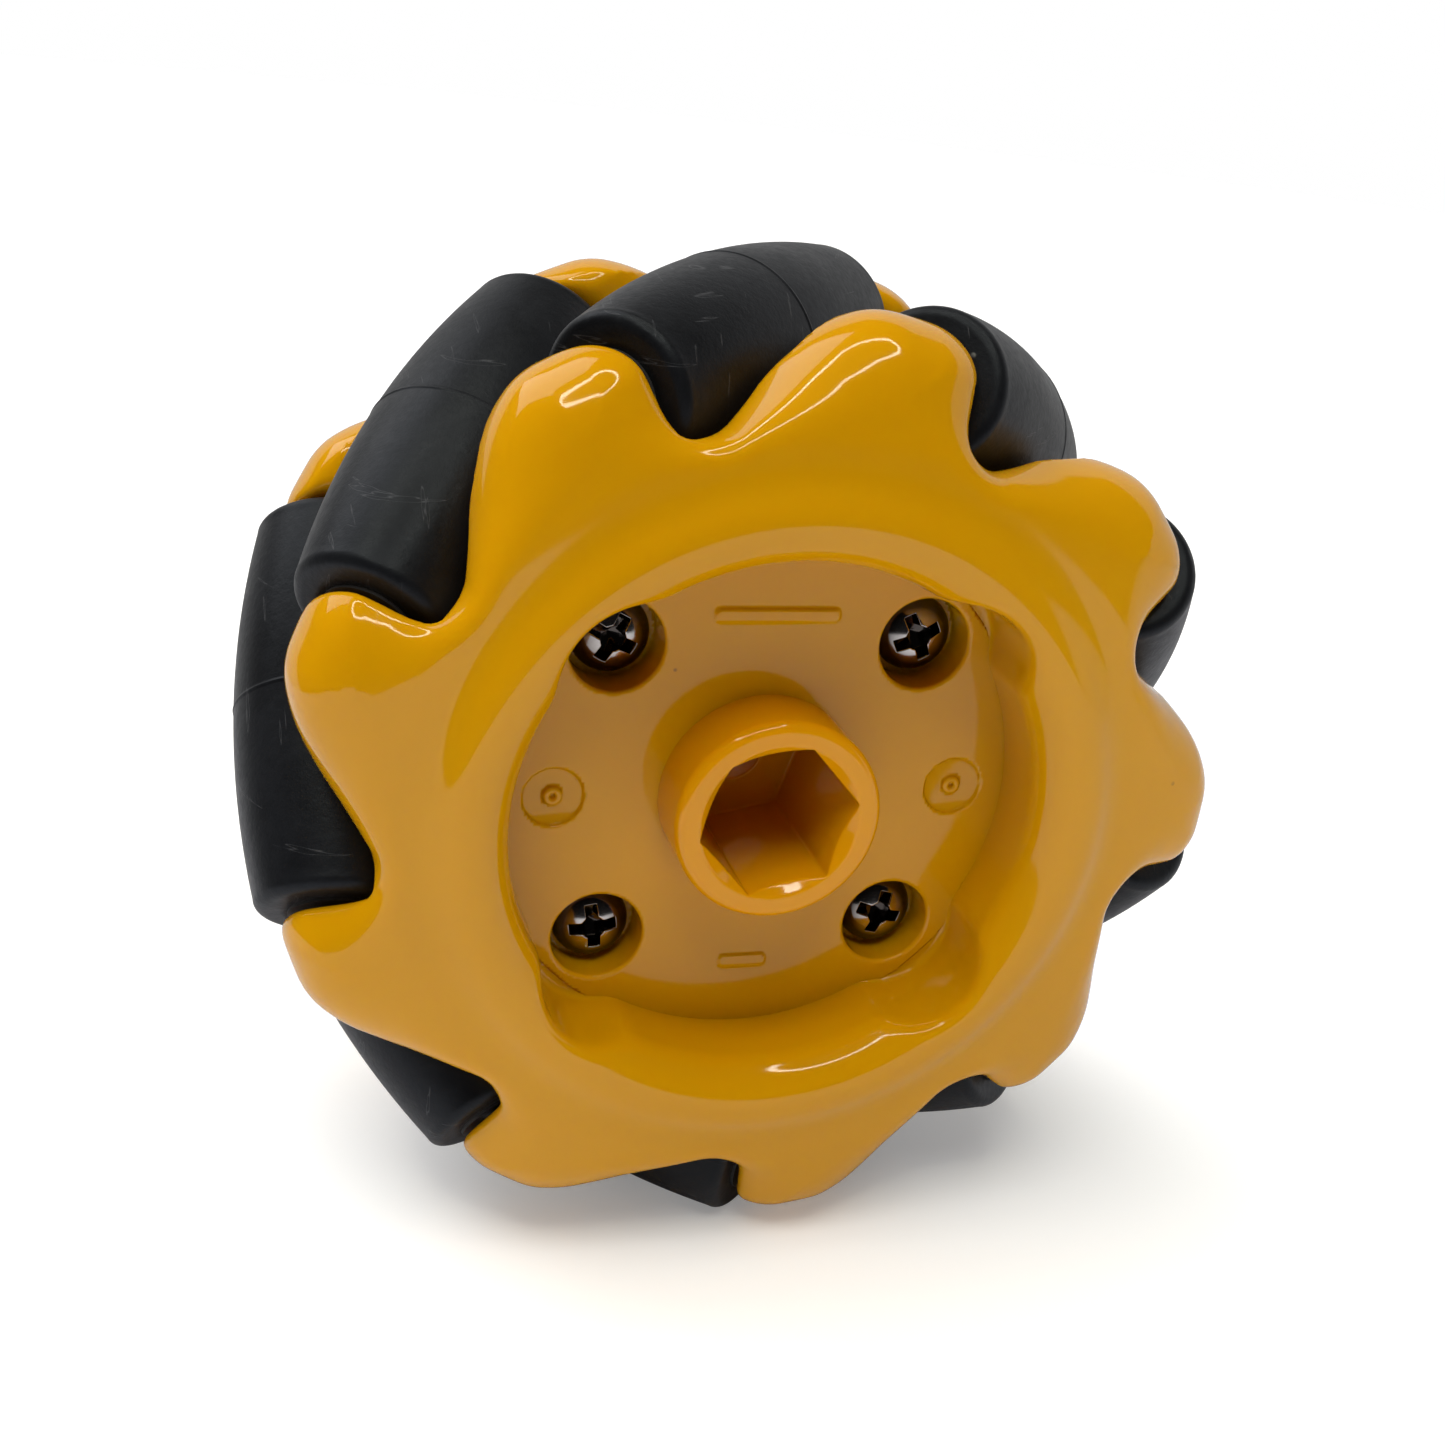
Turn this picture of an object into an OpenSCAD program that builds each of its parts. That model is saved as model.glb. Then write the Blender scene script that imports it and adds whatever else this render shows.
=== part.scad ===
// Mecanum wheel with nine skewed rollers between two moulded half-shells.
// Wheel axle along Y, front (hub boss) face towards -Y, Z up, origin on the
// axle at the joint plane of the two half-shells. Millimetres.

/* [Wheel] */
// Outside diameter over the rollers
wheel_d = 48; // [47:0.5:49]
// Angle of the roller axles to the wheel axle
skew = 45; // [45]
// Position of the first roller round the axle
roller_phase = 135; // [0:5:355]

/* [Rollers] */
// Distance from the wheel axle to the middle of each roller axle
roller_pitch_r = 19.3; // [19.3:0.1:19.6]
// Length of the rubber tyre along its axle
tyre_len = 19.5; // [18:0.5:19.5]
// Rounding at each end of the rubber tyre
tyre_edge_r = 0.6; // [0.3:0.1:0.8]
// Diameter of the hard sleeve inside the rubber
core_d = 4.4; // [4:0.1:4.6]
// How far the sleeve stands out of the rubber at each end
core_proud = 0.15; // [0.1:0.05:0.2]

/* [Axles] */
// Diameter of the steel roller axles
axle_d = 2; // [2]
// Gap all round between axle and sleeve
axle_gap = 0.05; // [0.03:0.01:0.08]
// Length of axle held in each half-shell
axle_seat = 2.5; // [2:0.1:2.6]
// Side gap between sleeve and half-shell
end_gap = 0.2; // [0.15:0.05:0.25]

/* [Half-shells] */
// Height of the crest of the rounded rim over the joint plane
rim_z = 11.65; // [11.5:0.05:12]
// Radius from the axle to the crest of the rim
rim_r = 16.6; // [16.5:0.1:16.8]
// Radius of the lobe tips
lobe_r = 23.6; // [23.2:0.1:23.7]
// Radius of the drum inside the rollers
drum_r = 14.1; // [14:0.1:14.2]
// Height of the dish floor over the joint plane
floor_z = 6.4; // [6.2:0.1:6.6]
// Radius of the dish floor
floor_r = 12.65; // [12.5:0.05:12.7]
// Clearance between roller and half-shell
roller_gap = 0.4; // [0.35:0.05:0.5]
// Rounding at the root of the notch between two lobes
notch_root_r = 1.5; // [1:0.1:1.8]
// Rounding of the lobe corners, seen from the front
lobe_corner_r = 2.2; // [1.5:0.1:2.4]
// Thickness of the web at the joint plane in each half-shell
web_t = 1.25; // [1:0.05:1.5]

/* [Hub boss] */
// Outside diameter of the boss
boss_d = 10; // [9.8:0.1:10.4]
// Height of the boss tip over the joint plane
boss_z = 10; // [9.8:0.1:10.2]
// Rounding of the boss edge
boss_edge_r = 0.5; // [0.3:0.1:0.6]
// Hexagonal drive socket, across flats
hex_af = 6.75; // [6.5:0.05:6.8]
// Turn of the hexagon round the axle
hex_turn = 12; // [0:1:59]
// Diameter of the hole for the axial fixing screw
axial_hole_d = 3.2; // [3:0.1:3.4]

/* [Screws] */
// Radius of the screw circle
screw_circle_r = 10.55; // [10.5:0.05:10.6]
// Diameter of the counterbore
cbore_d = 4.5; // [4.4:0.1:4.6]
// Height of the counterbore seat over the joint plane
cbore_z = 4.2; // [4:0.1:4.4]
// Diameter of the screw head
head_d = 3.8; // [3.6:0.1:4]
// Height of the screw head
head_h = 1.4; // [1.2:0.1:1.5]
// Thread diameter
screw_d = 2; // [2]
// Length of the screw under its head
screw_len = 9; // [8:0.5:9.5]

/* [Floor marks] */
// Distance from the axle to the round ejector marks
mark_r = 10; // [9.8:0.1:10.2]
// Diameter of the ejector marks
mark_d = 2.9; // [2.6:0.1:3]

/* [Hidden] */
N = 9;
R = wheel_d / 2;
d = roller_pitch_r;
half = tyre_len / 2;
core_half = half + core_proud;
seat_half = core_half + end_gap;
axle_half = seat_half + axle_seat;
hex_r = hex_af / sqrt(3);
wall_arc = rim_r - floor_r;

// --- placing -------------------------------------------------------------
// Everything is drawn with the wheel axle on local Z and the front towards +Z.
module wheel_frame() rotate([90, 0, 0]) children();

// Puts a roller drawn on local Z at its place: k = 1 to 9.
module at_roller(k)
  rotate([0, 0, roller_phase + (k - 1) * 360 / N])
    translate([d, 0, 0])
      rotate([-skew, 0, 0])
        children();

// The rear half is the front half turned over about a roller's radius.
module turned_over()
  rotate([0, 0, roller_phase]) rotate([180, 0, 0]) rotate([0, 0, -roller_phase]) children();

module at_screws()
  for (a = [45 : 90 : 315]) rotate([0, 0, a]) translate([screw_circle_r, 0, 0]) children();

// --- roller profile --------------------------------------------------------
// A barrel whose skewed contact line lies on the wheel's outside cylinder.
// s runs along the axle; the contact point is at height s (R + D) / 2D.
function dist_at(s) = sqrt(d * d + s * s / 2);
function height_at(s) = s * (R + dist_at(s)) / (2 * dist_at(s));
function radius_at(s) = (R - dist_at(s)) * sqrt(1 - s * s / (4 * dist_at(s) * dist_at(s)));
// s for a given height, by repeated substitution
function s_for(h, s, n) = n == 0 ? s : s_for(h, h * 2 * dist_at(s) / (R + dist_at(s)), n - 1);
function radius_for(h) = radius_at(s_for(h, h, 12));
function barrel(h, n) = [for (i = [-n : n]) [radius_for(h * i / n), h * i / n]];
function arc(cr, cz, r, a0, a1, n) =
  [for (i = [0 : n]) let (a = a0 + (a1 - a0) * i / n) [cr + r * cos(a), cz + r * sin(a)]];

// --- rollers ---------------------------------------------------------------
module roller_tyre(k) {
  e = tyre_edge_r;
  h = half - e;
  re = radius_for(h) - e;
  color([0.10, 0.10, 0.11])
    wheel_frame() at_roller(k)
      difference() {
        rotate_extrude($fn = 72)
          polygon(concat(
            [[0, -half]],
            arc(re, -h, e, -90, 0, 4),
            [for (i = [-9 : 9]) [radius_for(h * i / 10), h * i / 10]],
            arc(re, h, e, 0, 90, 4),
            [[0, half]]));
        translate([0, 0, -half - 1]) cylinder(d = core_d, h = tyre_len + 2, $fn = 48);
      }
}

module roller_core(k) {
  color([0.16, 0.16, 0.17])
    wheel_frame() at_roller(k)
      difference() {
        translate([0, 0, -core_half]) cylinder(d = core_d, h = 2 * core_half, $fn = 48);
        translate([0, 0, -core_half - 1])
          cylinder(d = axle_d + 2 * axle_gap, h = 2 * core_half + 2, $fn = 48);
      }
}

module roller_axle(k) {
  c = 0.2;
  r = axle_d / 2;
  color([0.72, 0.73, 0.75])
    wheel_frame() at_roller(k)
      rotate_extrude($fn = 48)
        polygon([[0, -axle_half], [r - c, -axle_half], [r, -axle_half + c],
                 [r, axle_half - c], [r - c, axle_half], [0, axle_half]]);
}

// --- half-shells -------------------------------------------------------------
// Turned section of a half-shell: drum, dish, rounded rim and lobe ring.
module shell_section()
  polygon(concat(
    [[0, 0], [drum_r, 0], [drum_r, 6.2], [15.4, 5.0], [22.6, 5.0]],
    [[lobe_r - 0.25, 5.7]],
    arc(lobe_r - 3.6, 7.4, 3.6, 0, 72, 4),
    arc(rim_r, rim_z - wall_arc, wall_arc, 90, 180, 5),
    [[floor_r, floor_z], [boss_d / 2, floor_z]],
    arc(boss_d / 2 - boss_edge_r, boss_z - boss_edge_r, boss_edge_r, 0, 90, 3),
    [[0, boss_z]]));

// Arc of radius r that rounds corner b between a and c.
function fillet(a, b, c, r, n) =
  let (u = (a - b) / norm(a - b), v = (c - b) / norm(c - b), h = acos(u * v) / 2,
       o = b + (u + v) / norm(u + v) * r / sin(h),
       p0 = b + u * r / tan(h), p1 = b + v * r / tan(h),
       a0 = atan2(p0[1] - o[1], p0[0] - o[0]), a1 = atan2(p1[1] - o[1], p1[0] - o[0]),
       da = (a1 - a0 + 540) % 360 - 180)
  [for (i = [0 : n]) o + r * [cos(a0 + da * i / n), sin(a0 + da * i / n)]];
function polar(r, a) = [r * cos(a), r * sin(a)];

// Front outline of the lobes. Each notch has a steep flank beside the roller's
// end and a long straight flank along the next roller. Angles are counted from
// the roller's own radius.
root_a = 13.75;
root_rad = 17.77;
steep_a = 15.85;
long_a = -10.35;
module lobe_outline()
  polygon([for (k = [0 : N - 1]) let (a = roller_phase + k * 360 / N,
      root = polar(root_rad, a + root_a),
      tip1 = polar(lobe_r, a + steep_a),
      tip2 = polar(lobe_r, a + long_a + 360 / N),
      before = polar(lobe_r, a + long_a),
      next = polar(root_rad, a + root_a + 360 / N))
    each concat(fillet(before, root, tip1, notch_root_r, 4),
                fillet(root, tip1, tip2, lobe_corner_r, 3),
                fillet(tip1, tip2, next, lobe_corner_r, 3))]);

// Room for a turning roller, flat across the axle at both ends.
module roller_room(k)
  at_roller(k)
    rotate_extrude($fn = 72)
      polygon(concat(
        [[0, -seat_half]],
        [for (i = [-5 : 5]) [radius_for(half * i / 5) + roller_gap, seat_half * i / 5]],
        [[0, seat_half]]));

module half_shell() {
  difference() {
    intersection() {
      rotate_extrude($fn = 144) shell_section();
      linear_extrude(height = rim_z + 1) lobe_outline();
    }
    for (k = [1 : N]) roller_room(k);
    for (k = [1 : N]) at_roller(k)
      translate([0, 0, -axle_half - 0.1]) cylinder(d = axle_d, h = 2 * axle_half + 0.2, $fn = 48);
    // hexagonal drive socket with its lead-in, and the axial screw hole
    rotate([0, 0, hex_turn]) translate([0, 0, web_t]) cylinder(r = hex_r, h = boss_z, $fn = 6);
    translate([0, 0, boss_z - 0.5]) cylinder(r1 = hex_af / 2, r2 = hex_r, h = 0.5, $fn = 72);
    translate([0, 0, boss_z]) cylinder(r = hex_r, h = 1, $fn = 72);
    translate([0, 0, -1]) cylinder(d = axial_hole_d, h = web_t + 2, $fn = 48);
    // round ejector marks with a small centre point
    for (x = [-mark_r, mark_r]) translate([x, 0, floor_z - 0.15]) difference() {
      cylinder(d = mark_d, h = 1, $fn = 48);
      translate([0, 0, -1]) cylinder(d = 0.8, h = 1.1, $fn = 32);
    }
  }
}

module front_shell() {
  color([0.93, 0.66, 0.05])
    wheel_frame()
      difference() {
        half_shell();
        at_screws() {
          translate([0, 0, cbore_z]) cylinder(d = cbore_d, h = 4, $fn = 48);
          translate([0, 0, -1]) cylinder(d = screw_d + 0.3, h = cbore_z + 2, $fn = 48);
        }
      }
}

module rear_shell() {
  color([0.93, 0.66, 0.05])
    wheel_frame()
      difference() {
        turned_over() half_shell();
        at_screws()
          translate([0, 0, cbore_z - screw_len - 0.4]) cylinder(d = screw_d, h = screw_len, $fn = 48);
      }
}

// --- screws --------------------------------------------------------------------
module cross_recess()
  for (a = [0, 90]) rotate([0, 0, a])
    translate([-1.05, -0.3, -0.9]) cube([2.1, 0.6, 2]);

module shell_screws() {
  color([0.62, 0.61, 0.60])
    wheel_frame() at_screws()
      translate([0, 0, cbore_z])
        difference() {
          rotate_extrude($fn = 72)
            polygon([[0, -screw_len], [screw_d / 2 - 0.4, -screw_len],
                     [screw_d / 2, -screw_len + 0.6], [screw_d / 2, 0], [head_d / 2, 0],
                     [head_d / 2, head_h * 0.45], [head_d / 2 - 0.12, head_h * 0.7],
                     [head_d / 2 - 0.45, head_h * 0.9], [head_d / 2 - 1, head_h], [0, head_h]]);
          translate([0, 0, head_h]) rotate([0, 0, 20]) cross_recess();
        }
}

front_shell();
rear_shell();
shell_screws();
roller_tyre(1);  // roller_tyre_1
roller_tyre(2);  // roller_tyre_2
roller_tyre(3);  // roller_tyre_3
roller_tyre(4);  // roller_tyre_4
roller_tyre(5);  // roller_tyre_5
roller_tyre(6);  // roller_tyre_6
roller_tyre(7);  // roller_tyre_7
roller_tyre(8);  // roller_tyre_8
roller_tyre(9);  // roller_tyre_9
roller_core(1);  // roller_core_1
roller_core(2);  // roller_core_2
roller_core(3);  // roller_core_3
roller_core(4);  // roller_core_4
roller_core(5);  // roller_core_5
roller_core(6);  // roller_core_6
roller_core(7);  // roller_core_7
roller_core(8);  // roller_core_8
roller_core(9);  // roller_core_9
roller_axle(1);  // roller_axle_1
roller_axle(2);  // roller_axle_2
roller_axle(3);  // roller_axle_3
roller_axle(4);  // roller_axle_4
roller_axle(5);  // roller_axle_5
roller_axle(6);  // roller_axle_6
roller_axle(7);  // roller_axle_7
roller_axle(8);  // roller_axle_8
roller_axle(9);  // roller_axle_9
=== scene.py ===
import math

import bpy
import numpy as np
from mathutils import Matrix, Vector


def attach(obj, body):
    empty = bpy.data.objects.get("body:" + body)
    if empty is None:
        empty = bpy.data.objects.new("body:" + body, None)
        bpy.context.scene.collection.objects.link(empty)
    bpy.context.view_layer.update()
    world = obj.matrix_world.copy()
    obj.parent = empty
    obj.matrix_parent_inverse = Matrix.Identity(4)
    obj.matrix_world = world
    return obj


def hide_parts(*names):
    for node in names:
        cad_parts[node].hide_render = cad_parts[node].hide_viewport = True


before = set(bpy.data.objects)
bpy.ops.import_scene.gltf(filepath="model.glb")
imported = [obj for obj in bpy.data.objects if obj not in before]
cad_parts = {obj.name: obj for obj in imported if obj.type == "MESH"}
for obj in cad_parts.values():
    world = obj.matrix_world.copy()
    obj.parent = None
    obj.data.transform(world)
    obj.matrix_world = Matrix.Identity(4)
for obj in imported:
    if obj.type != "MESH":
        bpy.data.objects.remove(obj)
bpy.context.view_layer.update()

FINE = 1.0
MM = 0.001

# ---------------------------------------------------------------------------
# Sizes, in millimetres. "Local" is the wheel's own frame: wheel axle on z,
# front towards +z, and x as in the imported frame.
# ---------------------------------------------------------------------------
N = 9
R_WHEEL = 24.0
PITCH_R = 19.3
PHASE = 135.0
TYRE_HALF = 9.75
EDGE_R = 0.6
SEAT_HALF = 10.1
GAP = 0.4
RIM_Z, FLOOR_R, FLOOR_Z = 11.65, 12.65, 6.4
CREST_ARC = 2.05
CREST_R = FLOOR_R + CREST_ARC
LOBE_R = 23.6
DRUM_R = 14.1
BOSS_R, BOSS_Z = 5.0, 10.0
HEX_IN = 3.375
SCREW_R = 10.55
S2 = math.sqrt(0.5)


# --- signed distances -----------------------------------------------------
def cmax(a, b, k):
    """Intersection with a soft, curvature-continuous blend of width k."""
    h = np.maximum(k - np.abs(a - b), 0.0) / k
    return np.maximum(a, b) + h * h * h * k / 6.0


def cmin(a, b, k):
    h = np.maximum(k - np.abs(a - b), 0.0) / k
    return np.minimum(a, b) - h * h * h * k / 6.0


def rmax(a, b, r):
    """Intersection whose edge is a true fillet of radius r."""
    u, v = np.maximum(a + r, 0.0), np.maximum(b + r, 0.0)
    return np.minimum(np.maximum(a, b), -r) + np.sqrt(u * u + v * v)


def rmin(a, b, r):
    return -rmax(-a, -b, r)


def step(x, a, b):
    t = np.clip((x - a) / (b - a), 0.0, 1.0)
    return t * t * (3.0 - 2.0 * t)


def capsule2(x, y, ax, ay, bx, by, ra, rb):
    """Distance to the hull of two circles."""
    px, py = x - ax, y - ay
    qx, qy = bx - ax, by - ay
    h = qx * qx + qy * qy
    ux = np.abs(px * qy - py * qx) / h
    uy = (px * qx + py * qy) / h
    b = ra - rb
    cx, cy = math.sqrt(h - b * b), b
    k = cx * uy - cy * ux
    m = cx * ux + cy * uy
    n = ux * ux + uy * uy
    return np.where(
        k < 0,
        np.sqrt(h * n) - ra,
        np.where(k > cx, np.sqrt(h * np.maximum(n + 1 - 2 * uy, 0.0)) - rb, m - ra),
    )


def polar(r, a):
    return np.array([r * math.cos(math.radians(a)), r * math.sin(math.radians(a))])


def outline_parts(lobe_r, root_r, root_a, steep_a, long_a, f_root, f_steep, f_long):
    """Lines and arcs of the lobes' front outline, for one lobe and its neighbours."""
    corners = []
    for k in (-1, 0, 1, 2):
        a = k * 40.0
        corners += [
            (polar(root_r, a + root_a), f_root),
            (polar(lobe_r, a + steep_a), f_steep),
            (polar(lobe_r, a + long_a + 40.0), f_long),
        ]
    arcs, ends = [], []
    for i in range(1, len(corners) - 1):
        a, b, c = corners[i - 1][0], corners[i][0], corners[i + 1][0]
        r = corners[i][1]
        u = (a - b) / np.linalg.norm(a - b)
        v = (c - b) / np.linalg.norm(c - b)
        h = math.acos(float(u @ v)) / 2
        o = b + (u + v) / np.linalg.norm(u + v) * r / math.sin(h)
        p0, p1 = b + u * r / math.tan(h), b + v * r / math.tan(h)
        cross = (b - a)[0] * (c - b)[1] - (b - a)[1] * (c - b)[0]
        arcs.append((o, r, p0, p1, cross > 0))
        ends.append((p0, p1))
    lines = [(ends[i][1], ends[i + 1][0]) for i in range(len(ends) - 1)]
    return arcs, lines


OUT_ARCS, OUT_LINES = outline_parts(24.75, 17.77, 13.4, 14.2, -11.0, 1.5, 2.9, 3.1)


def outline(x, y):
    """Signed distance to the lobes' outline; nine-fold, so folded to one sector."""
    th = np.arctan2(y, x) - math.radians(PHASE)
    r = np.hypot(x, y)
    th = np.mod(th, math.radians(40.0))
    px, py = r * np.cos(th), r * np.sin(th)
    best = np.full(px.shape, 1e9)
    out = np.zeros(px.shape)
    for a, b in OUT_LINES:
        e = b - a
        ln = math.hypot(*e)
        ex, ey = e / ln
        wx, wy = px - a[0], py - a[1]
        t = np.clip(wx * ex + wy * ey, 0.0, ln)
        dist = np.hypot(wx - t * ex, wy - t * ey)
        side = ex * wy - ey * wx
        hit = dist < best
        best = np.where(hit, dist, best)
        out = np.where(hit, np.where(side > 0, -dist, dist), out)
    for o, r0, p0, p1, convex in OUT_ARCS:
        wx, wy = px - o[0], py - o[1]
        rho = np.hypot(wx, wy)
        m = (p0 + p1) / 2 - o
        m = m / math.hypot(*m)
        lim = float(((p0 - o) / r0) @ m)
        inside_wedge = wx * m[0] + wy * m[1] > rho * lim
        dist = np.abs(rho - r0)
        hit = inside_wedge & (dist < best)
        best = np.where(hit, dist, best)
        out = np.where(hit, (rho - r0) if convex else (r0 - rho), out)
    return out


def dist_at(s):
    return np.sqrt(PITCH_R**2 + s * s / 2)


def barrel_table():
    """Radius of the roller for each height along its axle, for a contact line on the wheel's cylinder."""
    s = np.linspace(-12.5, 12.5, 2001)
    dd = dist_at(s)
    return s * (R_WHEEL + dd) / (2 * dd), (R_WHEEL - dd) * np.sqrt(1 - s * s / (4 * dd * dd))


BAR_H, BAR_R = barrel_table()


def barrel(h):
    return np.interp(h, BAR_H, BAR_R)


def roller_frame(k):
    """Middle, axle direction and outward direction of roller k in the local frame."""
    a = math.radians(PHASE + (k - 1) * 40.0)
    er = np.array([math.cos(a), math.sin(a), 0.0])
    et = np.array([-math.sin(a), math.cos(a), 0.0])
    ax = (et + np.array([0.0, 0.0, 1.0])) * S2
    return er * PITCH_R, ax, er, np.cross(ax, er)


def rollers_room(x, y, z):
    """Signed distance to the room of the turning rollers (folded to one sector)."""
    th = np.mod(np.arctan2(y, x) - math.radians(PHASE) + math.radians(20.0), math.radians(40.0)) - math.radians(20.0)
    r = np.hypot(x, y)
    qx, qy = r * np.cos(th), r * np.sin(th)
    best = np.full(np.broadcast(qx, z).shape, 1e9)
    for k in (-2, -1, 0, 1, 2):
        a = math.radians(40.0 * k)
        er = (math.cos(a), math.sin(a))
        et = (-math.sin(a), math.cos(a))
        wx, wy = qx - er[0] * PITCH_R, qy - er[1] * PITCH_R
        s = (wx * et[0] + wy * et[1] + z) * S2
        n2 = wx * wx + wy * wy + z * z - s * s
        u = np.sqrt(np.maximum(n2, 0.0))
        rad = barrel(np.clip(s, -SEAT_HALF, SEAT_HALF)) + GAP
        best = np.minimum(best, rmax(np.abs(s) - SEAT_HALF, u - rad, 0.4))
    return best


SCREW_AT = [(SCREW_R * math.cos(math.radians(a)), SCREW_R * math.sin(math.radians(a))) for a in (45, 135, 225, 315)]


def near_screw(x, y):
    dd = np.full(x.shape, 1e9)
    for sx, sy in SCREW_AT:
        dd = np.minimum(dd, np.hypot(x - sx, y - sy))
    return dd


def rim_shape(reliefs):
    """The rounded rim with its nine lobes and the drum inside the rollers."""

    def f(x, y, z):
        r = np.hypot(x, y)
        ridge = capsule2(r, z, CREST_R, RIM_Z - CREST_ARC, 17.2, 7.6, CREST_ARC, 2.3)
        box = np.maximum(np.maximum(FLOOR_R - r, r - CREST_R), z - (RIM_Z - CREST_ARC))
        pad = capsule2(r, z, 18.0, 6.95, 20.15, 6.95, 3.9, 3.64)
        sec = cmin(np.minimum(ridge, box), pad, 1.6)
        sec = rmax(sec, 4.7 - z, 0.9)
        k = 1.3 + 5.2 * step(r, 17.2, 21.5)
        up = cmax(sec, outline(x, y) - 0.27 * step(r, 19.0, 22.5), k)
        drum = np.maximum(np.maximum(r - DRUM_R, z - 7.4), -z)
        body = rmin(up, rmax(r - DRUM_R, np.maximum(-z, z - 7.4), 0.25), 0.5)
        body = np.minimum(body, drum + 0.3)
        body = cmax(body, -rollers_room(x, y, z), 0.9)
        body = np.maximum(body, np.where(z < 6.2, 13.05, FLOOR_R) - r)
        if reliefs:
            cyl = rmax(near_screw(x, y) - 3.45, 6.3 - z, 0.35)
            body = cmax(body, -cyl, 0.8)
        return body

    return f


def floor_shape(bored):
    """The dish floor with counterbores and round marks."""

    def f(x, y, z):
        r = np.hypot(x, y)
        body = np.maximum(np.maximum(r - 13.4, 4.55 - r), 3.5 - z)
        top = z - FLOOR_Z
        for sx in (-10.0, 10.0):
            q = np.hypot(x - sx, y)
            cut = rmax(q - 1.45, FLOOR_Z - 0.34 + 0.08 * np.minimum(q, 1.45) ** 2 - z, 0.08)
            top = rmax(top, -cut, 0.1)
            nib = np.hypot(q - 0.30, z - FLOOR_Z + 0.24) - 0.17
            top = rmin(top, nib, 0.08)
        # plain raised bars
        for cx, cy, hx, hy in ((0.0, 8.9, 2.9, 0.24), (0.0, -9.2, 1.1, 0.24)):
            bar = rmax(np.hypot(np.maximum(np.abs(x - cx) - hx + 0.15, 0), np.maximum(np.abs(y - cy) - hy + 0.15, 0)) - 0.15 - 0.1,
                       z - FLOOR_Z - 0.14, 0.1)
            top = rmin(top, np.maximum(bar, FLOOR_Z - 1.0 - z), 0.12)
        body = np.maximum(body, top)
        if bored:
            q = near_screw(x, y)
            body = rmax(body, -np.maximum(q - 2.25, 4.2 - z), 0.16)
        return body

    return f


def boss_shape(x, y, z):
    """Hub boss with its hexagonal socket, lead-in and axial screw hole."""
    r = np.hypot(x, y)
    out = rmax(r - BOSS_R, z - BOSS_Z, 0.5)
    out = np.maximum(out, 0.02 - z)
    hexa = np.full(x.shape, -1e9)
    for i in range(3):
        a = math.radians(12.0 + 30.0 + 60.0 * i)
        hexa = cmax(hexa, np.abs(x * math.cos(a) + y * math.sin(a)) - HEX_IN, 0.16)
    socket = rmax(hexa, 1.25 - z, 0.12)
    lead = (r - (HEX_IN + (z - BOSS_Z + 0.5))) * S2
    lead = np.maximum(lead, BOSS_Z - 0.62 - z)
    socket = cmin(socket, lead, 0.1)
    hole = r - 1.6
    socket = cmin(socket, hole, 0.15)
    return rmax(out, -socket, 0.07)


def screw_shape(x, y, z):
    """Pan head with a cross recess, resting on z = 0."""
    r = np.hypot(x, y)
    dome = np.hypot(r, z + 1.45) - 2.85
    head = rmax(r - 1.9, dome, 0.28)
    head = rmax(head, -z, 0.1)
    depth = 1.4 - z
    arm = 0.31 - 0.05 * depth
    reach = 1.27 - 0.40 * depth
    ax, ay = np.abs(x), np.abs(y)
    cross = np.minimum(rmax(ax - reach, ay - arm, 0.03), rmax(ay - reach, ax - arm, 0.03))
    core = r - (0.62 - 0.22 * depth)
    cut = rmin(cross, core, 0.05)
    cut = np.maximum(cut, 0.12 - z + 0.35 * r)
    return rmax(head, -cut, 0.05)


# --- meshing --------------------------------------------------------------
def gradient(f, p, e):
    g = np.empty_like(p)
    for i in range(3):
        d = np.zeros(3)
        d[i] = e
        a, b = p + d, p - d
        g[:, i] = (f(a[:, 0], a[:, 1], a[:, 2]) - f(b[:, 0], b[:, 1], b[:, 2])) / (2 * e)
    return g


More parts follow.
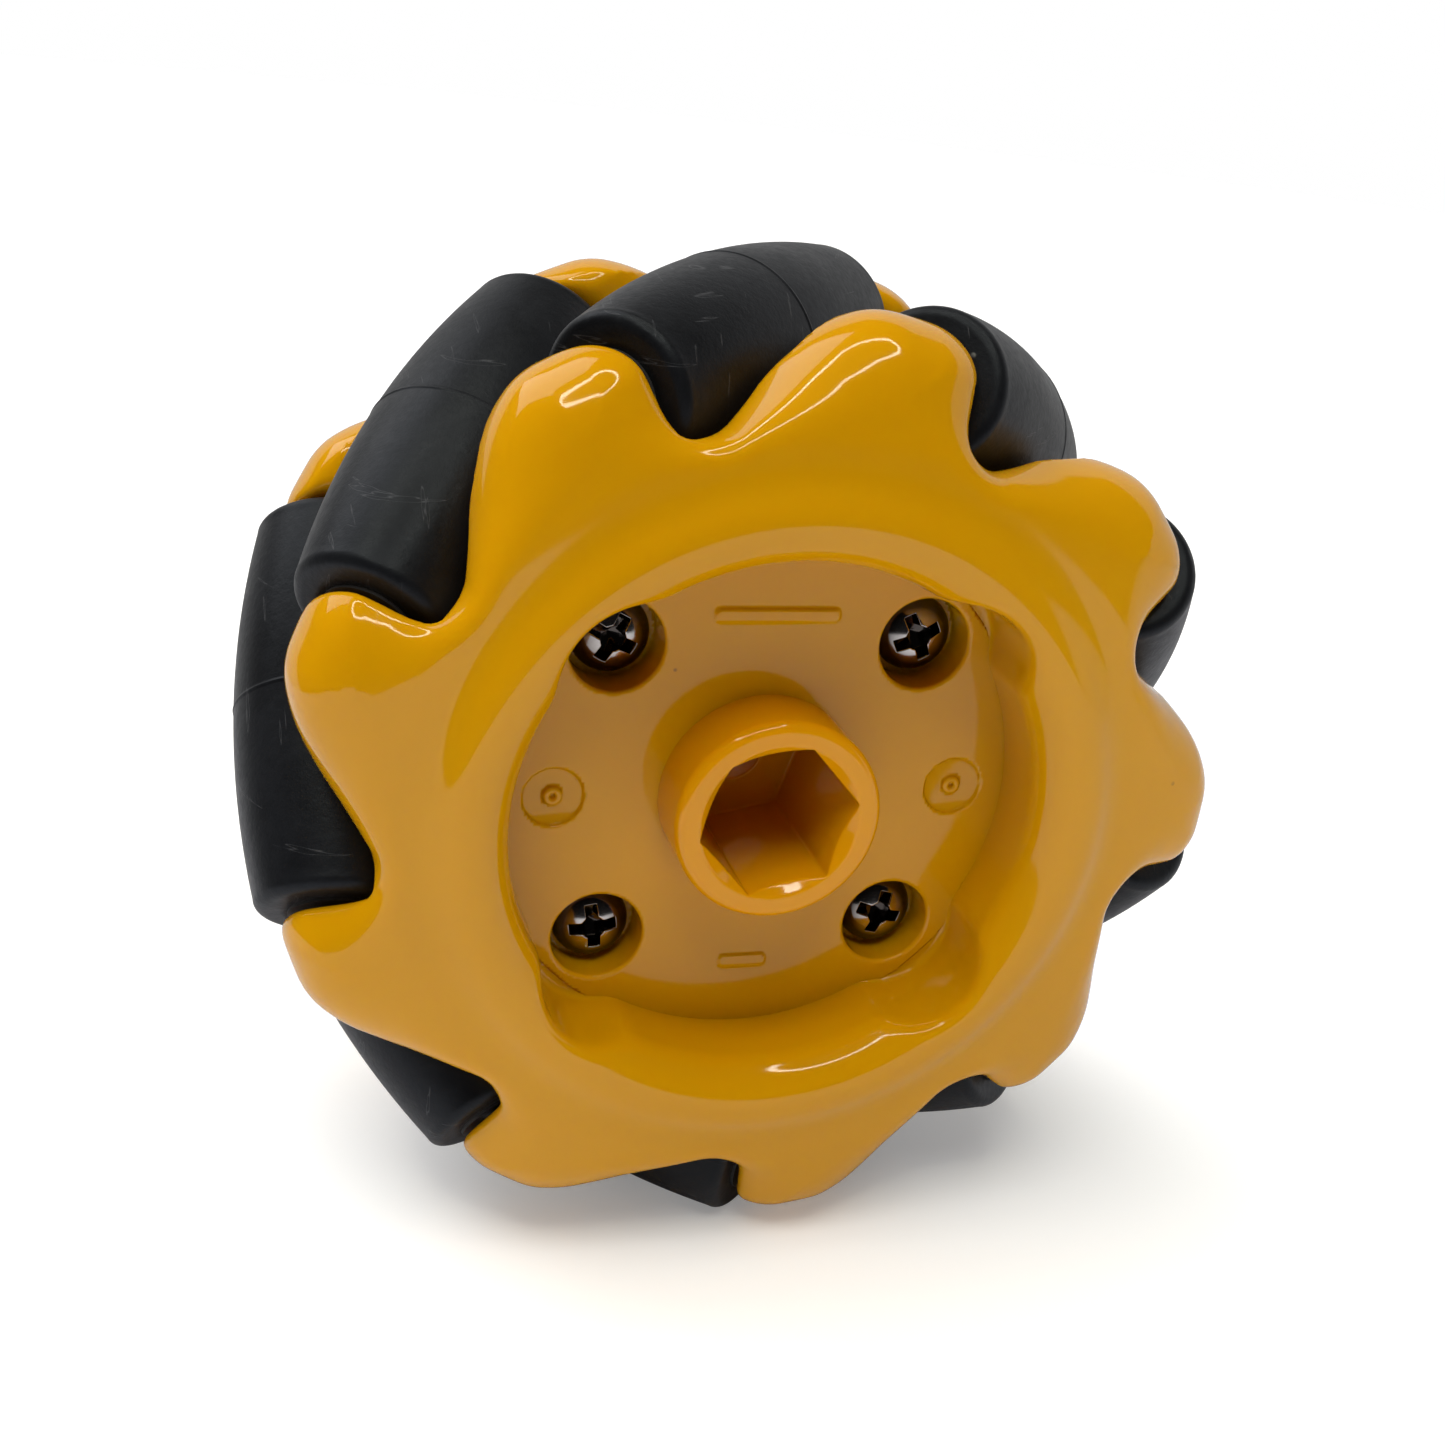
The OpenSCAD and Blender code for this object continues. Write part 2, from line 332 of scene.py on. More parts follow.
def skin(f, lo, hi, h, rounds=2, eps=0.004):
    """Quads on the surface f = 0 inside a box, drawn onto the surface, with its true normals."""
    lo, hi = np.array(lo, float), np.array(hi, float)
    n = np.ceil((hi - lo) / h).astype(int) + 1
    ax = [lo[i] + h * np.arange(n[i]) for i in range(3)]
    val = np.empty(n, np.float32)
    for i in range(0, n[0], 12):
        x, y, z = np.meshgrid(ax[0][i : i + 12], ax[1], ax[2], indexing="ij")
        val[i : i + 12] = f(x, y, z)
    ins = val < 0
    cnt = np.zeros(n - 1, np.uint8)
    for i in (0, 1):
        for j in (0, 1):
            for k in (0, 1):
                cnt += ins[i : n[0] - 1 + i, j : n[1] - 1 + j, k : n[2] - 1 + k]
    act = (cnt > 0) & (cnt < 8)
    ids = np.full(act.shape, -1, np.int64)
    ids[act] = np.arange(int(act.sum()))
    cells = np.argwhere(act)
    pos, num = np.zeros((len(cells), 3)), np.zeros(len(cells))
    for axis in range(3):
        u, v = (axis + 1) % 3, (axis + 2) % 3
        for du in (0, 1):
            for dv in (0, 1):
                c = np.zeros(3, int)
                c[u], c[v] = du, dv
                d = c.copy()
                d[axis] = 1
                a = val[tuple((cells + c).T)].astype(float)
                b = val[tuple((cells + d).T)].astype(float)
                cross = (a < 0) != (b < 0)
                t = np.where(cross, a / np.where(cross, a - b, 1.0), 0.0)
                add = c[None, :] + np.zeros((len(cells), 3))
                add[:, axis] = t
                pos += add * cross[:, None]
                num += cross
    p = lo + h * (cells + pos / num[:, None])
    quads = []
    for axis in range(3):
        u, v = (axis + 1) % 3, (axis + 2) % 3
        sl0, sl1 = [slice(None)] * 3, [slice(None)] * 3
        sl0[axis], sl1[axis] = slice(0, -1), slice(1, None)
        s0, s1 = ins[tuple(sl0)], ins[tuple(sl1)]
        e = np.argwhere(s0 != s1)
        e = e[(e[:, u] > 0) & (e[:, v] > 0) & (e[:, u] < n[u] - 1) & (e[:, v] < n[v] - 1)]
        eu, ev = np.zeros(3, int), np.zeros(3, int)
        eu[u], ev[v] = 1, 1
        q = np.stack([ids[tuple((e - eu - ev).T)], ids[tuple((e - ev).T)], ids[tuple(e.T)], ids[tuple((e - eu).T)]], 1)
        fwd = s0[tuple(e.T)]
        quads.append(np.where(fwd[:, None], q, q[:, ::-1]))
    quads = np.concatenate(quads)

    def snap(p, times):
        for _ in range(times):
            g = gradient(f, p, eps)
            d = f(p[:, 0], p[:, 1], p[:, 2])
            st = d[:, None] * g / np.maximum((g * g).sum(1), 0.3)[:, None]
            ln = np.linalg.norm(st, axis=1, keepdims=True)
            p = p - st * np.minimum(1.0, 0.6 * h / np.maximum(ln, 1e-12))
        return p, g

    p, g = snap(p, 2)
    a = quads.ravel()
    b = np.roll(quads, -1, 1).ravel()
    deg = np.bincount(a, minlength=len(p)) + np.bincount(b, minlength=len(p))
    for _ in range(rounds):
        avg = np.stack([np.bincount(a, p[b, i], len(p)) + np.bincount(b, p[a, i], len(p)) for i in range(3)], 1) / deg[:, None]
        nn = g / np.maximum(np.linalg.norm(g, axis=1, keepdims=True), 1e-9)
        mv = avg - p
        mv -= nn * (mv * nn).sum(1)[:, None]
        p, g = snap(p + 0.6 * mv, 1)
    p, g = snap(p, 1)
    nn = gradient(f, p, eps)
    nn /= np.maximum(np.linalg.norm(nn, axis=1, keepdims=True), 1e-9)
    return p, quads, nn


AXIS_TURN = np.array([math.cos(math.radians(PHASE)), math.sin(math.radians(PHASE)), 0.0])


def turned_over(v):
    return 2 * (v @ AXIS_TURN)[:, None] * AXIS_TURN[None, :] - v


def to_frame(v):
    return np.stack([v[:, 0], -v[:, 2], v[:, 1]], 1)


def add_mesh(name, p, faces, normals=None, mat=None, rear=False):
    """A Blender object from local millimetres."""
    if rear:
        p = turned_over(p)
        normals = None if normals is None else turned_over(normals)
    me = bpy.data.meshes.new(name)
    v = (to_frame(p) * MM).astype(np.float32)
    if isinstance(faces, np.ndarray):
        k = faces.shape[1]
        me.vertices.add(len(v))
        me.vertices.foreach_set("co", v.ravel())
        me.loops.add(faces.size)
        me.loops.foreach_set("vertex_index", faces.astype(np.int32).ravel())
        me.polygons.add(len(faces))
        me.polygons.foreach_set("loop_start", np.arange(0, faces.size, k, dtype=np.int32))
        me.update(calc_edges=True)
        me.validate()
    else:
        me.from_pydata(v.tolist(), [], faces)
        me.validate()
    me.polygons.foreach_set("use_smooth", np.ones(len(me.polygons), bool))
    if normals is not None and len(me.vertices) == len(normals):
        me.normals_split_custom_set_from_vertices(to_frame(normals).astype(float).tolist())
    me.update()
    o = bpy.data.objects.new(name, me)
    bpy.context.scene.collection.objects.link(o)
    if mat is not None:
        me.materials.append(mat)
    return o


def lathe(profile, seg, closed=True):
    """Turns (r, z) points round z. Points on the axis close the ends."""
    prof = [tuple(q) for q in profile]
    verts, rings = [], []
    for r, z in prof:
        if r < 1e-9:
            rings.append([len(verts)])
            verts.append((0.0, 0.0, z))
        else:
            first = len(verts)
            for i in range(seg):
                a = 2 * math.pi * i / seg
                verts.append((r * math.cos(a), r * math.sin(a), z))
            rings.append(list(range(first, first + seg)))
    faces = []
    for a, b in zip(rings, rings[1:]):
        for i in range(seg):
            j = (i + 1) % seg
            if len(a) == 1 and len(b) == 1:
                continue
            if len(a) == 1:
                faces.append((a[0], b[j], b[i]))
            elif len(b) == 1:
                faces.append((a[i], a[j], b[0]))
            else:
                faces.append((a[i], a[j], b[j], b[i]))
    return np.array(verts, float), faces


# ---------------------------------------------------------------------------
# Materials
# ---------------------------------------------------------------------------
class Nodes:
    def __init__(self, name):
        self.mat = bpy.data.materials.new(name)
        self.mat.use_nodes = True
        self.t = self.mat.node_tree
        self.t.nodes.clear()
        self.out = self.t.nodes.new("ShaderNodeOutputMaterial")
        self.bsdf = self.t.nodes.new("ShaderNodeBsdfPrincipled")
        self.link(self.bsdf.outputs[0], self.out.inputs["Surface"])
        co = self.t.nodes.new("ShaderNodeTexCoord")
        self.co = co.outputs["Object"]

    def link(self, a, b):
        self.t.links.new(a, b)

    def set(self, **kw):
        for k, v in kw.items():
            self.bsdf.inputs[k.replace("_", " ")].default_value = v

    def scaled(self, s, rot=(0, 0, 0)):
        m = self.t.nodes.new("ShaderNodeMapping")
        m.inputs["Scale"].default_value = s if hasattr(s, "__len__") else (s, s, s)
        m.inputs["Rotation"].default_value = rot
        self.link(self.co, m.inputs["Vector"])
        return m.outputs[0]

    def noise(self, scale, detail=3.0, rough=0.5, vec=None, distort=0.0):
        n = self.t.nodes.new("ShaderNodeTexNoise")
        n.inputs["Scale"].default_value = scale
        n.inputs["Detail"].default_value = detail
        n.inputs["Roughness"].default_value = rough
        n.inputs["Distortion"].default_value = distort
        self.link(vec if vec is not None else self.co, n.inputs["Vector"])
        return n.outputs["Fac"]

    def voronoi(self, scale, vec=None, feature="F1", rnd=1.0):
        n = self.t.nodes.new("ShaderNodeTexVoronoi")
        n.feature = feature
        n.inputs["Scale"].default_value = scale
        n.inputs["Randomness"].default_value = rnd
        self.link(vec if vec is not None else self.co, n.inputs["Vector"])
        return n.outputs["Distance"]

    def ramp(self, fac, stops):
        n = self.t.nodes.new("ShaderNodeValToRGB")
        while len(n.color_ramp.elements) < len(stops):
            n.color_ramp.elements.new(0.5)
        for e, (p, c) in zip(n.color_ramp.elements, stops):
            e.position = p
            e.color = (*c, 1) if hasattr(c, "__len__") else (c, c, c, 1)
        self.link(fac, n.inputs[0])
        return n.outputs[0]

    def mix(self, fac, a, b, kind="MIX"):
        n = self.t.nodes.new("ShaderNodeMix")
        n.data_type = "RGBA"
        n.blend_type = kind
        for s, v in ((n.inputs[0], fac), (n.inputs[6], a), (n.inputs[7], b)):
            if hasattr(v, "is_output"):
                self.link(v, s)
            elif hasattr(v, "__len__"):
                s.default_value = (*v, 1)
            else:
                s.default_value = v
        return n.outputs[2]

    def math(self, op, a, b=0.0):
        n = self.t.nodes.new("ShaderNodeMath")
        n.operation = op
        for s, v in ((n.inputs[0], a), (n.inputs[1], b)):
            if hasattr(v, "is_output"):
                self.link(v, s)
            else:
                s.default_value = v
        return n.outputs[0]

    def bump(self, height, strength, dist, normal=None):
        n = self.t.nodes.new("ShaderNodeBump")
        n.inputs["Strength"].default_value = strength
        n.inputs["Distance"].default_value = dist
        self.link(height, n.inputs["Height"])
        if normal is not None:
            self.link(normal, n.inputs["Normal"])
        return n.outputs[0]


def shell_plastic(name, low, high):
    """Glossy injection-moulded yellow plastic."""
    m = Nodes(name)
    broad = m.noise(55.0, 2.0)
    col = m.mix(m.ramp(broad, [(0.35, 0.0), (0.7, 1.0)]), low, high)
    # small dark specks in the resin
    speck = m.ramp(m.voronoi(420.0), [(0.0, 1.0), (0.035, 1.0), (0.06, 0.0)])
    pick = m.ramp(m.noise(260.0, 1.0), [(0.64, 0.0), (0.68, 1.0)])
    speck = m.math("MULTIPLY", speck, pick)
    col = m.mix(m.math("MULTIPLY", speck, 0.75), col, (0.12, 0.045, 0.004))
    m.link(col, m.bsdf.inputs["Base Color"])
    # polish: faint haze and hairline scratches
    haze = m.noise(160.0, 4.0, 0.6)
    scr = m.noise(70.0, 2.0, 0.5, m.scaled((40.0, 1.2, 6.0), (0.3, 0.5, 0.9)))
    scr = m.ramp(scr, [(0.0, 0.0), (0.69, 0.0), (0.71, 1.0), (0.73, 0.0)])
    rough = m.math("ADD", m.math("MULTIPLY", haze, 0.05), m.math("MULTIPLY", scr, 0.10))
    rough = m.math("ADD", rough, 0.055)
    m.link(rough, m.bsdf.inputs["Roughness"])
    ripple = m.noise(130.0, 1.0, 0.4)
    b = m.bump(ripple, 0.06, 0.0004)
    b = m.bump(scr, 0.05, 0.00001, b)
    m.link(b, m.bsdf.inputs["Normal"])
    m.set(IOR=1.5, Subsurface_Weight=0.22, Subsurface_Scale=0.0016, Coat_Weight=0.0)
    m.bsdf.inputs["Subsurface Radius"].default_value = (1.0, 0.42, 0.06)
    return m.mat


def rubber():
    """Dark rubber with a soft sheen, rub marks, fine scratches and dust."""
    m = Nodes("roller_rubber")
    rub = m.noise(210.0, 4.0, 0.65)
    fine = m.noise(2600.0, 3.0, 0.7)
    scr1 = m.ramp(m.noise(85.0, 3.0, 0.6, m.scaled((22.0, 1.5, 2.0), (0.2, 0.7, 0.4))), [(0.0, 0.0), (0.66, 0.0), (0.675, 1.0), (0.69, 0.0)])
    scr2 = m.ramp(m.noise(70.0, 3.0, 0.6, m.scaled((1.4, 1.8, 24.0), (0.6, 0.1, 1.1))), [(0.0, 0.0), (0.67, 0.0), (0.68, 1.0), (0.69, 0.0)])
    scr = m.math("MAXIMUM", scr1, scr2)
    dust = m.ramp(m.voronoi(520.0), [(0.0, 1.0), (0.05, 1.0), (0.09, 0.0)])
    dust = m.math("MULTIPLY", dust, m.ramp(m.noise(330.0, 2.0), [(0.60, 0.0), (0.66, 1.0)]))
    col = m.mix(m.ramp(rub, [(0.3, 0.0), (0.75, 1.0)]), (0.0030, 0.0031, 0.0037), (0.0080, 0.0084, 0.0102))
    col = m.mix(m.math("MULTIPLY", scr, 0.35), col, (0.10, 0.10, 0.105))
    col = m.mix(m.math("MULTIPLY", dust, 0.7), col, (0.34, 0.33, 0.29))
    m.link(col, m.bsdf.inputs["Base Color"])
    r = m.math("ADD", m.math("MULTIPLY", rub, 0.30), m.math("MULTIPLY", fine, 0.22))
    r = m.math("ADD", r, 0.16)
    m.link(r, m.bsdf.inputs["Roughness"])
    b = m.bump(fine, 0.45, 0.00004)
    b = m.bump(scr, 0.25, 0.00002, b)
    m.link(b, m.bsdf.inputs["Normal"])
    m.set(IOR=1.34, Sheen_Weight=0.03, Sheen_Roughness=0.4, Specular_Tint=(0.80, 0.88, 1.0, 1))
    return m.mat


def sleeve_plastic():
    m = Nodes("sleeve_plastic")
    n = m.noise(300.0, 3.0)
    m.link(m.mix(n, (0.020, 0.019, 0.019), (0.036, 0.034, 0.033)), m.bsdf.inputs["Base Color"])
    m.link(m.math("ADD", m.math("MULTIPLY", n, 0.2), 0.35), m.bsdf.inputs["Roughness"])
    m.link(m.bump(m.noise(1500.0, 2.0), 0.1, 0.00003), m.bsdf.inputs["Normal"])
    return m.mat


def axle_steel():
    m = Nodes("axle_steel")
    n = m.noise(500.0, 3.0, 0.6, m.scaled((1.0, 1.0, 8.0)))
    m.link(m.mix(n, (0.48, 0.48, 0.49), (0.62, 0.62, 0.64)), m.bsdf.inputs["Base Color"])
    m.link(m.math("ADD", m.math("MULTIPLY", n, 0.2), 0.2), m.bsdf.inputs["Roughness"])
    m.set(Metallic=1.0)
    return m.mat


def nickel():
    """Dark bright nickel plating, a little worn and stained, with painted shade in the cross recess and on the lower
    head.
    """
    m = Nodes("dark_nickel")
    n = m.noise(420.0, 4.0, 0.6)
    col = m.mix(m.ramp(n, [(0.3, 0.0), (0.7, 1.0)]), (0.50, 0.46, 0.43), (0.80, 0.77, 0.74))
    stain = m.ramp(m.noise(900.0, 3.0, 0.7), [(0.6, 0.0), (0.72, 1.0)])
    col = m.mix(m.math("MULTIPLY", stain, 0.5), col, (0.16, 0.12, 0.10))
    # painted shade: everything below about 1 mm up the head turns near black, which darkens the cross recess and the
    # head's rim inside the counterbore
    sep = m.t.nodes.new("ShaderNodeSeparateXYZ")
    m.link(m.co, sep.inputs[0])
    painted_recess_shade = m.ramp(m.math("ADD", m.math("MULTIPLY", sep.outputs["Y"], 500.0), 3.0), [(0.0, 0.0), (0.22, 0.0), (0.40, 1.0)])
    col = m.mix(m.math("MULTIPLY", painted_recess_shade, 0.9), col, (0.030, 0.022, 0.018))
    m.link(col, m.bsdf.inputs["Base Color"])
    m.link(m.math("ADD", m.math("MULTIPLY", n, 0.10), m.math("ADD", m.math("MULTIPLY", stain, 0.15), 0.08)), m.bsdf.inputs["Roughness"])
    m.link(m.bump(m.noise(1300.0, 3.0), 0.15, 0.00003), m.bsdf.inputs["Normal"])
    m.set(Metallic=1.0)
    return m.mat


YELLOW = shell_plastic("glossy_yellow_plastic", (0.550, 0.256, 0.0004), (0.585, 0.277, 0.0008))
# painted shade: a more orange copy of the yellow for the boss, standing in for the deeper colour that interreflection
# and subsurface light give the boss and its socket
YELLOW_PAINTED_SHADE = shell_plastic("glossy_yellow_plastic_painted_shade", (0.600, 0.250, 0.0003), (0.640, 0.272, 0.0006))
RUBBER, SLEEVE, STEEL, NICKEL = rubber(), sleeve_plastic(), axle_steel(), nickel()

# ---------------------------------------------------------------------------
# Pieces
# ---------------------------------------------------------------------------
def hub_piece(o, slot_name, *nodes):
    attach(o, "hub")
    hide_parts(*nodes)
    return o


box_lo, box_hi = (-24.3, -24.3, -0.4), (24.3, 24.3, 12.1)
for side, rear in (("front", False), ("rear", True)):
    node = side + "_shell"
    p, q, nn = skin(rim_shape(not rear), box_lo, box_hi, 0.27 * FINE)
    hub_piece(add_mesh(side + "_rim", p, q, nn, YELLOW, rear), "shell_plastic", node)
    p, q, nn = skin(floor_shape(not rear), (-13.7, -13.7, 3.2), (13.7, 13.7, 6.9), 0.16 * FINE, eps=0.002)
    hub_piece(add_mesh(side + "_floor", p, q, nn, YELLOW, rear), "shell_plastic", node)
    p, q, nn = skin(boss_shape, (-5.3, -5.3, -0.2), (5.3, 5.3, 10.3), 0.11 * FINE, eps=0.002)
    # the boss takes the more orange copy of the yellow, which paints in its interreflected shade
    hub_piece(add_mesh(side + "_boss", p, q, nn, YELLOW_PAINTED_SHADE, rear), "shell_plastic", node)

# screws
sp, sq, sn = skin(screw_shape, (-2.1, -2.1, -0.15), (2.1, 2.1, 1.65), 0.055 * FINE, eps=0.001)
shaft_v, shaft_f = lathe([(0, -9.0), (0.6, -9.0), (1.0, -8.4), (1.0, 0.04), (0, 0.04)], 32)
TURN = {45: 25.0, 135: 62.0, 225: 8.0, 315: 74.0}
parts_v, parts_f, parts_n, at = [], [], [], 0
for ang, turn in TURN.items():
    c, s = math.cos(math.radians(turn)), math.sin(math.radians(turn))
    rot = np.array([[c, -s, 0], [s, c, 0], [0, 0, 1]])
    off = np.array([SCREW_R * math.cos(math.radians(ang)), SCREW_R * math.sin(math.radians(ang)), 4.2])
    parts_v.append(sp @ rot.T + off)
    parts_n.append(sn @ rot.T)
    parts_f.append(sq + at)
    at += len(sp)
head = add_mesh("screw_heads", np.concatenate(parts_v), np.concatenate(parts_f), np.concatenate(parts_n), NICKEL)
hub_piece(head, "screw_nickel", "shell_screws")
sv, sf, at = [], [], 0
for ang in TURN:
    off = np.array([SCREW_R * math.cos(math.radians(ang)), SCREW_R * math.sin(math.radians(ang)), 4.2])
    sv.append(shaft_v + off)
    sf += [tuple(i + at for i in fc) for fc in shaft_f]
    at += len(shaft_v)
hub_piece(add_mesh("screw_shafts", np.concatenate(sv), sf, None, NICKEL), "screw_nickel", "shell_screws")


# rollers
def tyre_profile():
    h = TYRE_HALF - EDGE_R
    re = float(barrel(h)) - EDGE_R
    pts = [(2.1, -TYRE_HALF + 0.5), (2.1, -TYRE_HALF + 0.04), (2.14, -TYRE_HALF), (2.6, -TYRE_HALF), (re - 0.4, -TYRE_HALF), (re - 0.1, -TYRE_HALF)]
    pts += [(re + EDGE_R * math.sin(a), -h - EDGE_R * math.cos(a)) for a in np.linspace(0.0, math.pi / 2, 10)]
    for s in np.linspace(-h, h, 61)[1:-1]:
        if abs(s) < 0.3:
            continue
        pts.append((float(barrel(s)), float(s)))
    half = len(pts)
    seam = [(float(barrel(s)) + d, s) for s, d in ((-0.16, 0.0), (-0.09, 0.0), (-0.05, 0.028), (0.0, 0.04), (0.05, 0.028), (0.09, 0.0), (0.16, 0.0))]
    low = [q for q in pts if q[1] < -0.2]
    high = [q for q in pts if q[1] > 0.2]
    pts = low + seam + high
    pts += [(re + EDGE_R * math.cos(a), h + EDGE_R * math.sin(a)) for a in np.linspace(0.0, math.pi / 2, 10)]
    pts += [(re - 0.1, TYRE_HALF), (re - 0.4, TYRE_HALF), (2.6, TYRE_HALF), (2.14, TYRE_HALF), (2.1, TYRE_HALF - 0.04), (2.1, TYRE_HALF - 0.5)]
    return pts


tv, tf = lathe(tyre_profile(), 144)
# close the bore: the last ring joins the first
seg = 144
last = len(tv) - seg
tf = tf + [(last + i, last + (i + 1) % seg, (i + 1) % seg, i) for i in range(seg)]
for k in range(1, N + 1):
    mid, ax, er, side_v = roller_frame(k)
    spin = 2 * math.pi * ((k * 0.377) % 1.0)
    c, s = math.cos(spin), math.sin(spin)
    e1, e2 = c * er + s * side_v, -s * er + c * side_v
    v = mid + tv[:, :1] * e1 + tv[:, 1:2] * e2 + tv[:, 2:3] * ax
    o = add_mesh(f"tyre_{k}", v, tf, None, RUBBER)
    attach(o, f"roller_{k}")
    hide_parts(f"roller_tyre_{k}")

for n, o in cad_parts.items():
    if n.startswith("roller_core"):
        o.data.materials.clear()
        o.data.materials.append(SLEEVE)
    elif n.startswith("roller_axle"):
        o.data.materials.clear()
        o.data.materials.append(STEEL)

# ---------------------------------------------------------------------------
# Stage: pale floor, light and camera
# ---------------------------------------------------------------------------
def stage_mesh(name, verts, faces, mat):
    me = bpy.data.meshes.new(name)
    me.from_pydata(verts, [], faces)
    o = bpy.data.objects.new(name, me)
    bpy.context.scene.collection.objects.link(o)
    me.materials.append(mat)
    return o


m = Nodes("stage_floor")
m.set(Base_Color=(0.84, 0.84, 0.84, 1), Roughness=0.9, Emission_Color=(1, 1, 1, 1), Emission_Strength=0.22)
s = 0.6
ring = [(s * math.cos(math.pi * i / 48), s * math.sin(math.pi * i / 48), -0.024) for i in range(96)]
stage_floor = stage_mesh("stage_floor", ring, [tuple(range(96))], m.mat)
stage_floor.visible_glossy = False
# the lit sheet near the wheel, as the gloss mirrors it
m = Nodes("stage_sheet")
m.set(Base_Color=(0.56, 0.56, 0.60, 1), Roughness=0.9)
ring = [(0.045 + 0.145 * math.cos(math.pi * i / 48), -0.022 + 0.145 * math.sin(math.pi * i / 48), -0.02399) for i in range(96)]
sheet = stage_mesh("stage_sheet", ring, [tuple(range(96))], m.mat)
sheet.visible_camera = sheet.visible_diffuse = sheet.visible_shadow = sheet.visible_transmission = False


def lamp_mat(name, power, color):
    mm = Nodes(name)
    mm.t.nodes.remove(mm.bsdf)
    e = mm.t.nodes.new("ShaderNodeEmission")
    e.inputs["Strength"].default_value = power
    e.inputs["Color"].default_value = (*color, 1)
    mm.link(e.outputs[0], mm.out.inputs["Surface"])
    return mm.mat


def ring_lamp(name, direction, dist, radius, width, power, seg=64):
    """A flat glowing ring that faces the object."""
    d = Vector(direction).normalized()
    centre = d * dist
    a = d.orthogonal().normalized()
    b = d.cross(a)
    verts, faces = [], []
    for i in range(seg):
        t = 2 * math.pi * i / seg
        for rr in (radius - width / 2, radius + width / 2):
            verts.append(tuple(centre + (a * math.cos(t) + b * math.sin(t)) * rr))
    for i in range(seg):
        j = (i + 1) % seg
        faces.append((2 * i, 2 * i + 1, 2 * j + 1, 2 * j))
    o = stage_mesh(name, verts, faces, lamp_mat(name, power, (1.0, 0.98, 0.84)))
    o.visible_camera = False
    return o


def area(name, direction, dist, size, power, size_y=None, color=(1, 1, 1), glossy=True):
    l = bpy.data.lights.new(name, "AREA")
    l.shape = "RECTANGLE"
    l.size, l.size_y = size, size_y or size
    l.energy = power
    l.color = color
    o = bpy.data.objects.new(name, l)
    o.location = Vector(direction).normalized() * dist
    o.rotation_mode = "QUATERNION"
    o.rotation_quaternion = (-Vector(direction)).to_track_quat("-Z", "Y")
    bpy.context.scene.collection.objects.link(o)
    o.visible_glossy = glossy
    o.visible_camera = False
    return o


def sun(name, direction, strength, angle):
    l = bpy.data.lights.new(name, "SUN")
    l.energy = strength
    l.angle = math.radians(angle)
    o = bpy.data.objects.new(name, l)
    o.rotation_mode = "QUATERNION"
    o.rotation_quaternion = (-Vector(direction)).to_track_quat("-Z", "Y")
    bpy.context.scene.collection.objects.link(o)
    o.visible_glossy = False
    return o


ring_lamp("ring_lamp", (-0.12, -0.22, 0.95), 0.60, 0.215, 0.032, 14.0)
sun("soft_sun", (-0.38, 0.08, 0.92), 0.85, 45.0)
sun("front_sun", (-0.10, -0.42, 0.90), 1.0, 30.0)
area("back_left", (-0.50, 0.50, 0.70), 0.6, 0.42, 0.95)
sun("soft_back", (-0.55, 0.45, 0.70), 0.35, 40.0)

w = bpy.data.worlds.new("world")
bpy.context.scene.world = w
w.use_nodes = True
t = w.node_tree
t.nodes.clear()
out = t.nodes.new("ShaderNodeOutputWorld")
lp = t.nodes.new("ShaderNodeLightPath")


def background(strength, color=(1, 1, 1)):
    b = t.nodes.new("ShaderNodeBackground")
    b.inputs["Color"].default_value = (*color, 1)
    b.inputs["Strength"].default_value = strength
    return b


# what the gloss mirrors: a pale sweep below and behind to the right, a dark room in front
co = t.nodes.new("ShaderNodeTexCoord")


def along(vec):
    n = t.nodes.new("ShaderNodeVectorMath")
    n.operation = "DOT_PRODUCT"
    n.inputs[1].default_value = vec
    t.links.new(co.outputs["Generated"], n.inputs[0])
    return n.outputs["Value"]


def ramp(value, stops):
    n = t.nodes.new("ShaderNodeValToRGB")
    while len(n.color_ramp.elements) < len(stops):
        n.color_ramp.elements.new(0.5)
    for e, (pos, c) in zip(n.color_ramp.elements, stops):
        e.position, e.color = pos, (c, c, c, 1)
    t.links.new(value, n.inputs[0])
    return n.outputs[0]


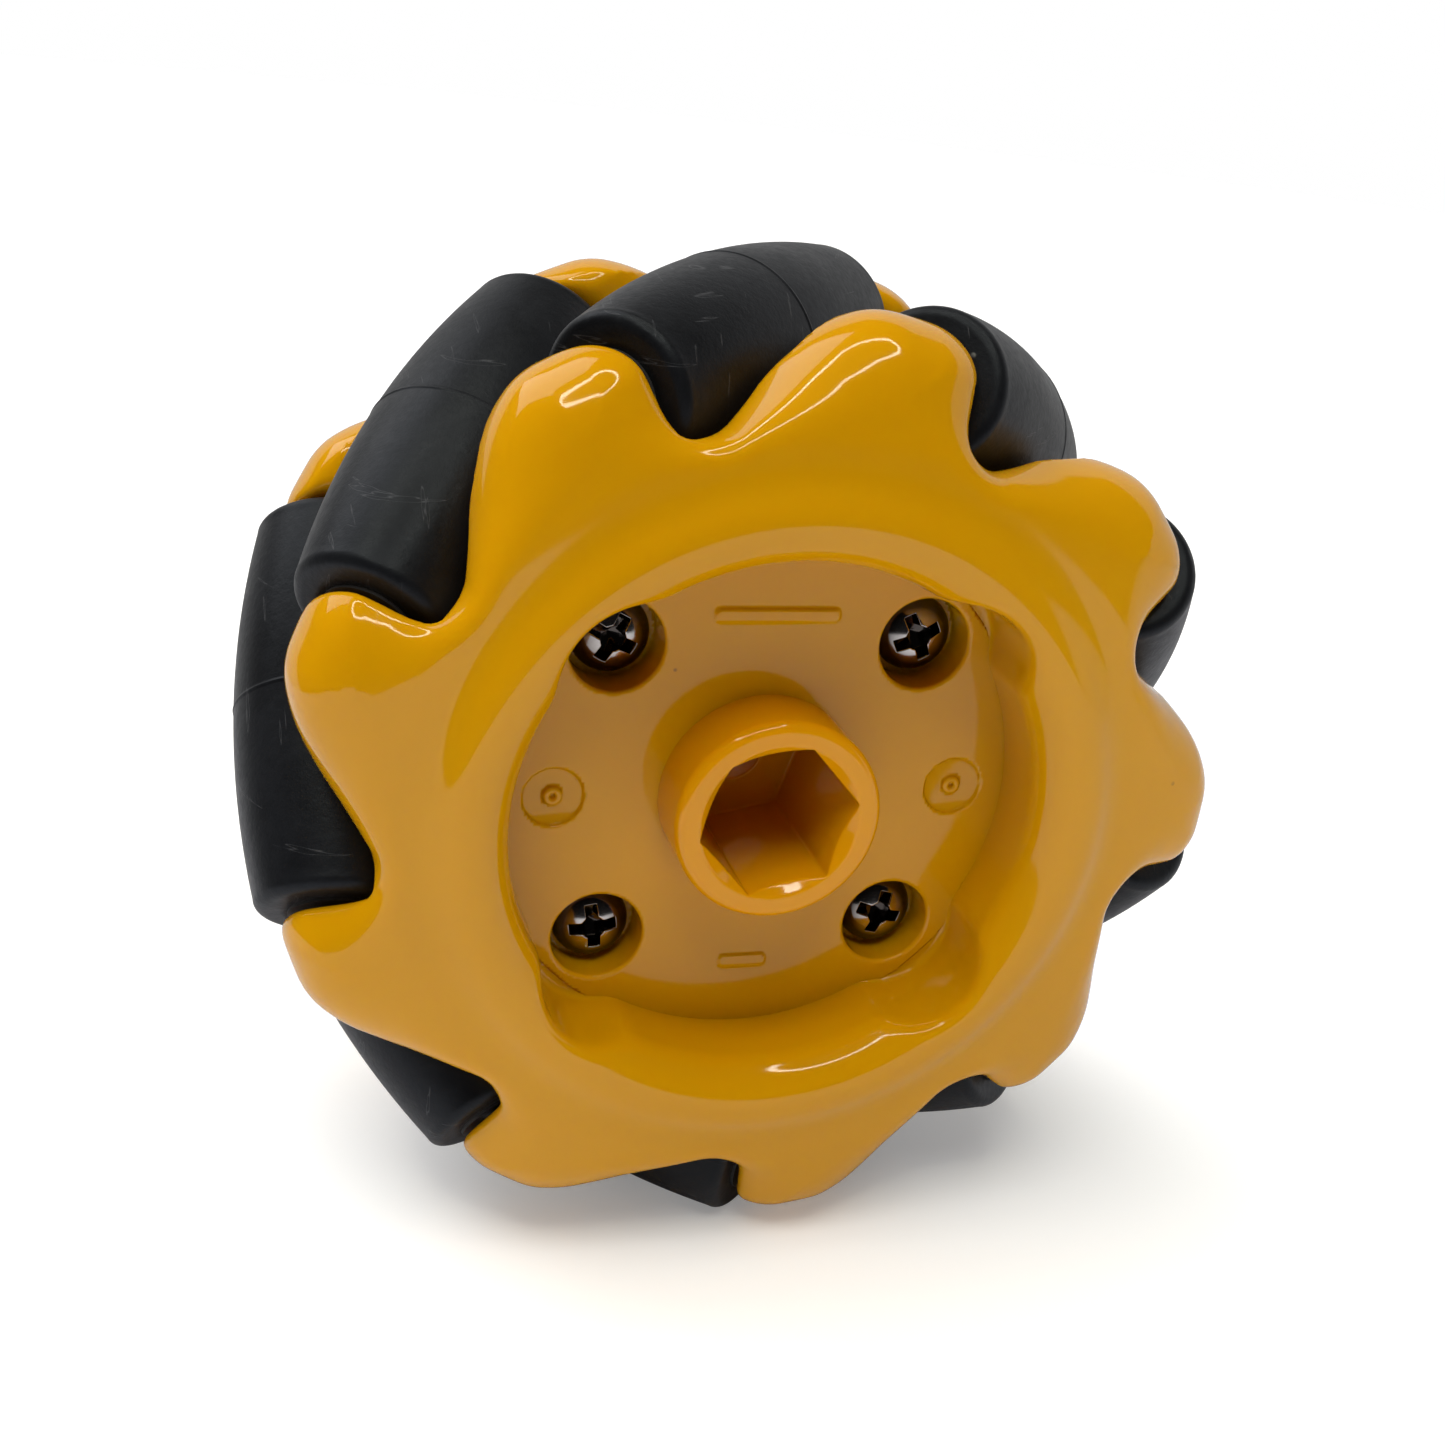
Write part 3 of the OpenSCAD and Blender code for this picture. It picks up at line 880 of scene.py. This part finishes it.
edge = t.nodes.new("ShaderNodeMath")
edge.operation = "ADD"
edge.inputs[1].default_value = 0.5
t.links.new(along((-0.70, -0.90, 1.0)), edge.inputs[0])
bg_gloss = background(1.0)
t.links.new(ramp(edge.outputs[0], [(0.0, 0.56), (0.36, 0.58), (0.44, 0.03), (1.0, 0.012)]), bg_gloss.inputs["Color"])
first = t.nodes.new("ShaderNodeMixShader")
t.links.new(lp.outputs["Is Glossy Ray"], first.inputs[0])
up = t.nodes.new("ShaderNodeMath")
up.operation = "ADD"
up.inputs[1].default_value = 0.5
t.links.new(along((-0.10, 0.32, 0.37)), up.inputs[0])
bg_soft = background(1.0)
t.links.new(ramp(up.outputs[0], [(0.0, 0.06), (0.45, 0.13), (1.0, 0.50)]), bg_soft.inputs["Color"])
t.links.new(bg_soft.outputs[0], first.inputs[1])
t.links.new(bg_gloss.outputs[0], first.inputs[2])
second = t.nodes.new("ShaderNodeMixShader")
t.links.new(lp.outputs["Is Camera Ray"], second.inputs[0])
t.links.new(first.outputs[0], second.inputs[1])
t.links.new(background(1.0).outputs[0], second.inputs[2])
t.links.new(second.outputs[0], out.inputs["Surface"])
bpy.context.scene.view_settings.view_transform = "Standard"

# camera: rows of R are its right, down and forward directions in the frame
CAM_R = ((0.950253, -0.293171, 0.105215), (-0.037127, -0.441990, -0.896251), (0.309259, 0.847759, -0.430887))
CAM_C = (-27.4336, -86.8203, 37.4209)
F_PX, PPX, PPY = 1935.42, 66.91, 132.44
cam = bpy.data.cameras.new("camera")
cam.sensor_width = 36.0
cam.lens = F_PX / 1445.0 * 36.0
cam.shift_x, cam.shift_y = -PPX / 1445.0, PPY / 1445.0
cam.clip_start, cam.clip_end = 0.005, 10.0
co_ = bpy.data.objects.new("camera", cam)
bpy.context.scene.collection.objects.link(co_)
rx, ry, rz = Vector(CAM_R[0]), -Vector(CAM_R[1]), -Vector(CAM_R[2])
mat = Matrix((rx, ry, rz)).transposed().to_4x4()
mat.translation = Vector(CAM_C) * MM
co_.matrix_world = mat
bpy.context.scene.camera = co_
